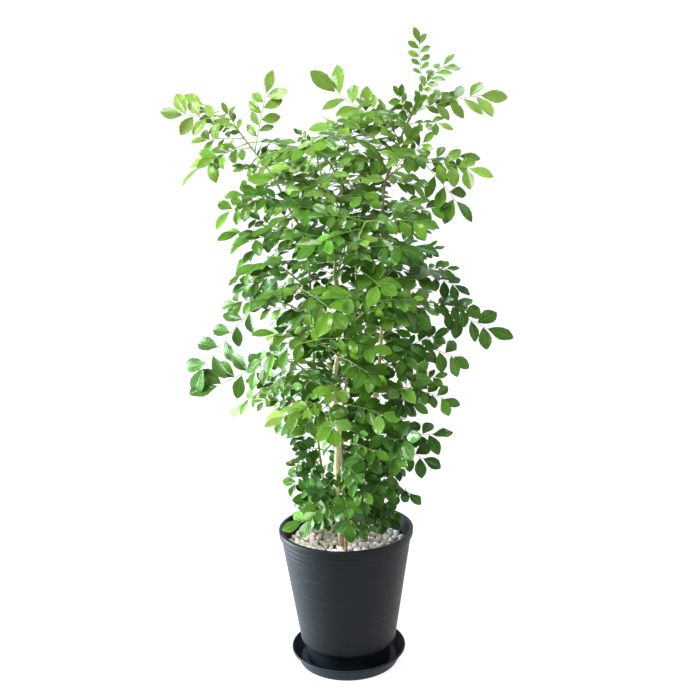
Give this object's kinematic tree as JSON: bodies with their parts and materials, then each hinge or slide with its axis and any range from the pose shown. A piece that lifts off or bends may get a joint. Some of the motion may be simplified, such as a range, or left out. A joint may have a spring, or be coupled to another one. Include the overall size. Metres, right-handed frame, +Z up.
{
  "type": "potted orange jasmine",
  "caption": "Orange jasmine plant about 1.1 m tall: thin leafy stems in a black ridged plastic pot on its saucer, with pale gravel over the soil.",
  "frame": {"origin": "centre of the saucer's flat underside, on the floor", "axes": "+Z up along the plant's height, +X to the right as the picture shows it, +Y to the back"},
  "size_m": [0.582, 0.4022, 1.0958],
  "materials": {
    "black_plastic": "matte with fine moulded rings",
    "saucer_plastic": "satin",
    "soil": "crumbly damp potting mix",
    "gravel": "crushed pale stone",
    "leaf": "waxy gloss above, dull below, on pale bark",
    "bark": "dull, finely ridged"
  },
  "bodies": {
    "root": {"pot": "black_plastic", "saucer": "saucer_plastic", "soil": "soil", "gravel": "gravel", "leafy_stem_centre": "leaf", "leafy_stem_left": "leaf", "leafy_stem_right": "leaf", "leafy_stem_front": "leaf", "leafy_stem_back": "leaf"}
  },
  "joints": []
}
